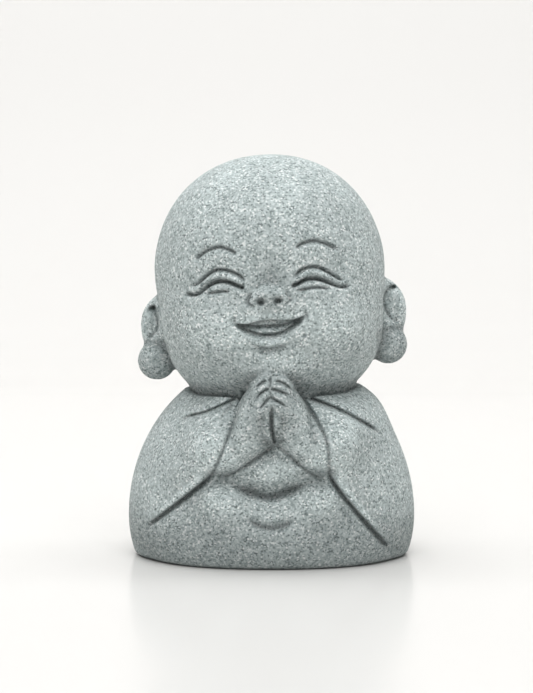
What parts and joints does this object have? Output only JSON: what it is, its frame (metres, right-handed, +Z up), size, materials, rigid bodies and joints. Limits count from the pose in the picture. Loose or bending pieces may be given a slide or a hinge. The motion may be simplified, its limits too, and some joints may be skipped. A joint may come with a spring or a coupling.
{
  "type": "baby buddha statue",
  "caption": "Small cast sandstone figure of a laughing baby monk with pressed hands, long-lobed ears and an open robe, on a flat underside.",
  "frame": {"origin": "centre of the flat underside the figure stands on", "axes": "+Z up, from the underside to the crown; the face looks along -Y; +X is at the right of someone who faces the figure"},
  "size_m": [0.0718, 0.0629, 0.1],
  "materials": {
    "sandstone": "matte"
  },
  "bodies": {
    "root": {"buddha_figure": "sandstone"}
  },
  "joints": []
}
